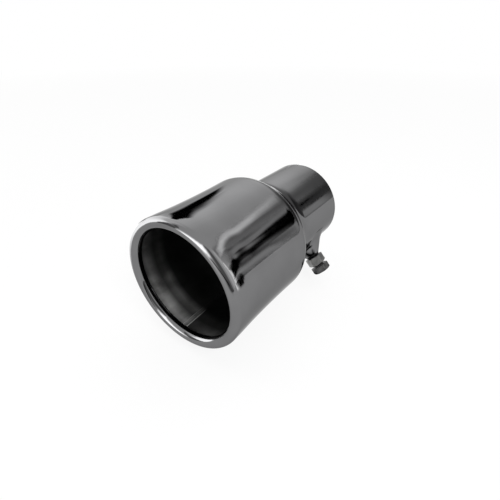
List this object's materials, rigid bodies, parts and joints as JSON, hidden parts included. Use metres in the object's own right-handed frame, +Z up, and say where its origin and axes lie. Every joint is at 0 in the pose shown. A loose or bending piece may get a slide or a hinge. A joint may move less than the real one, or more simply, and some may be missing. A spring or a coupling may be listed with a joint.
{
  "type": "exhaust tip",
  "caption": "Round bolt-on exhaust tip with a rolled lip, a spun neck that slips over a tailpipe, and a radial clamp bolt through a nut on a pressed boss.",
  "frame": {"origin": "centre of the tailpipe bore at the inlet end of the neck", "axes": "+Y along the tip's axis, out of the inlet end, so the mouth faces -Y; +Z up; the clamp bolt points 46.5 degrees below +X"},
  "size_m": [0.09, 0.147, 0.091],
  "materials": {
    "polished_body": "mirror polished",
    "plated_nut": "satin zinc plate",
    "plated_bolt": "satin zinc plate"
  },
  "bodies": {
    "tip": {"tip_body": "polished_body", "clamp_nut": "plated_nut"},
    "bolt": {"clamp_bolt": "plated_bolt"}
  },
  "joints": [
    {"name": "bolt_travel", "type": "slide", "parent": "tip", "child": "bolt", "axis": [0.6884, 0, -0.7254], "range_m": [-0.0017, 0.012]}
  ]
}
